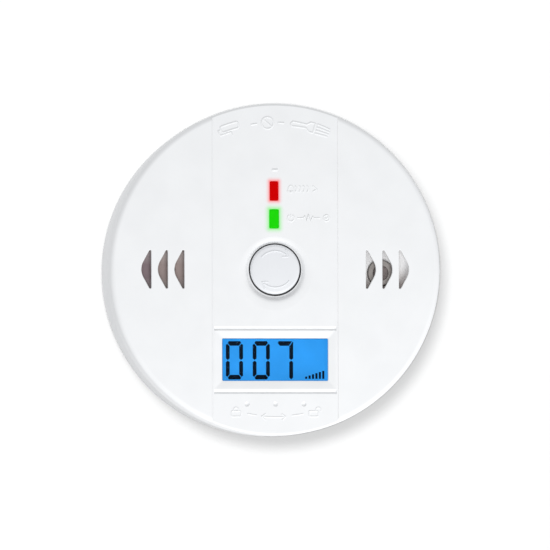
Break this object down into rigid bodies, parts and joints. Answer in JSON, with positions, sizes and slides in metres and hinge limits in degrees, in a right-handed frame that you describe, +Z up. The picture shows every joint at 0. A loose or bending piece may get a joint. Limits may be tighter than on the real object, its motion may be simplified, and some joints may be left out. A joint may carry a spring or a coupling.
{
  "type": "carbon monoxide detector",
  "caption": "Round battery carbon monoxide alarm with display, test button, vents and two indicator lights, on a twist-on wall bracket.",
  "frame": {"origin": "centre of the mounting bracket's flat rear face, which lies on the wall", "axes": "+Z up on the wall, -Y out of the wall along the casing's axis towards the viewer, +X to the viewer's right"},
  "size_m": [0.104, 0.038, 0.104],
  "materials": {
    "white_casing": "fine satin moulding",
    "white_bracket": "fine satin moulding",
    "white_button": "satin moulding",
    "plated_steel": "zinc plated",
    "nickel_contact": "nickel plated",
    "cell_sleeve": "dark printed sleeve, without lettering",
    "red_lead": "satin insulation",
    "black_lead": "satin insulation",
    "green_board": "solder mask",
    "black_package": "moulded epoxy",
    "capacitor_sleeve": "shrink sleeve",
    "ferrite": "sintered ferrite",
    "sensor_header": "satin",
    "shroud_plastic": "satin moulding",
    "sensor_can_steel": "drawn steel",
    "steel_gauze": "woven gauze",
    "buzzer_plastic": "matt moulding",
    "brass_disc": "satin",
    "red_led": "clear red epoxy",
    "green_led": "clear green epoxy",
    "red_light_pipe": "glowing clear red",
    "green_light_pipe": "glowing clear green",
    "display_holder_white": "satin",
    "light_guide": "blue lit",
    "display_glass": "blue lit display",
    "contact_rubber": "matt",
    "clear_lens": "polished",
    "switch_plunger_black": "satin"
  },
  "bodies": {
    "bracket": {"mounting_bracket": "white_bracket"},
    "detector": {"front_cover": "white_casing", "rear_cover": "white_casing", "case_screw_1": "plated_steel", "case_screw_2": "plated_steel", "case_screw_3": "plated_steel", "board_screw_1": "plated_steel", "board_screw_2": "plated_steel", "board_screw_3": "plated_steel", "crystal": "plated_steel", "contact_positive": "nickel_contact", "contact_bridge_upper": "nickel_contact", "contact_bridge_lower": "nickel_contact", "contact_negative": "nickel_contact", "battery_spring_1": "nickel_contact", "battery_spring_2": "nickel_contact", "battery_spring_3": "nickel_contact", "battery_cell_1": "cell_sleeve", "battery_cell_2": "cell_sleeve", "battery_cell_3": "cell_sleeve", "battery_lead_red": "red_lead", "battery_lead_black": "black_lead", "circuit_board": "green_board", "main_chip": "black_package", "horn_driver_chip": "black_package", "buzzer_base": "black_package", "switch_housing": "black_package", "capacitor_large": "capacitor_sleeve", "capacitor_small": "capacitor_sleeve", "horn_coil": "ferrite", "sensor_base": "sensor_header", "sensor_shroud": "shroud_plastic", "sensor_can": "sensor_can_steel", "sensor_gauze": "steel_gauze", "buzzer_housing": "buzzer_plastic", "buzzer_disc": "brass_disc", "alarm_led": "red_led", "power_led": "green_led", "alarm_light_pipe": "red_light_pipe", "power_light_pipe": "green_light_pipe", "display_holder": "display_holder_white", "display_backlight": "light_guide", "display_panel": "display_glass", "display_contact_strip": "contact_rubber", "display_lens": "clear_lens"},
    "button": {"test_button": "white_button", "switch_plunger": "switch_plunger_black"}
  },
  "joints": [
    {"name": "bayonet_twist", "type": "hinge", "parent": "bracket", "child": "detector", "pos_m": [0, 0, 0], "axis": [0, -1, 0], "range_deg": [0, 20]},
    {"name": "button_press", "type": "slide", "parent": "detector", "child": "button", "axis": [0, 1, 0], "range_m": [0, 0.0008], "stiffness_N_per_m": 1500, "springref_m": -0.0004}
  ]
}
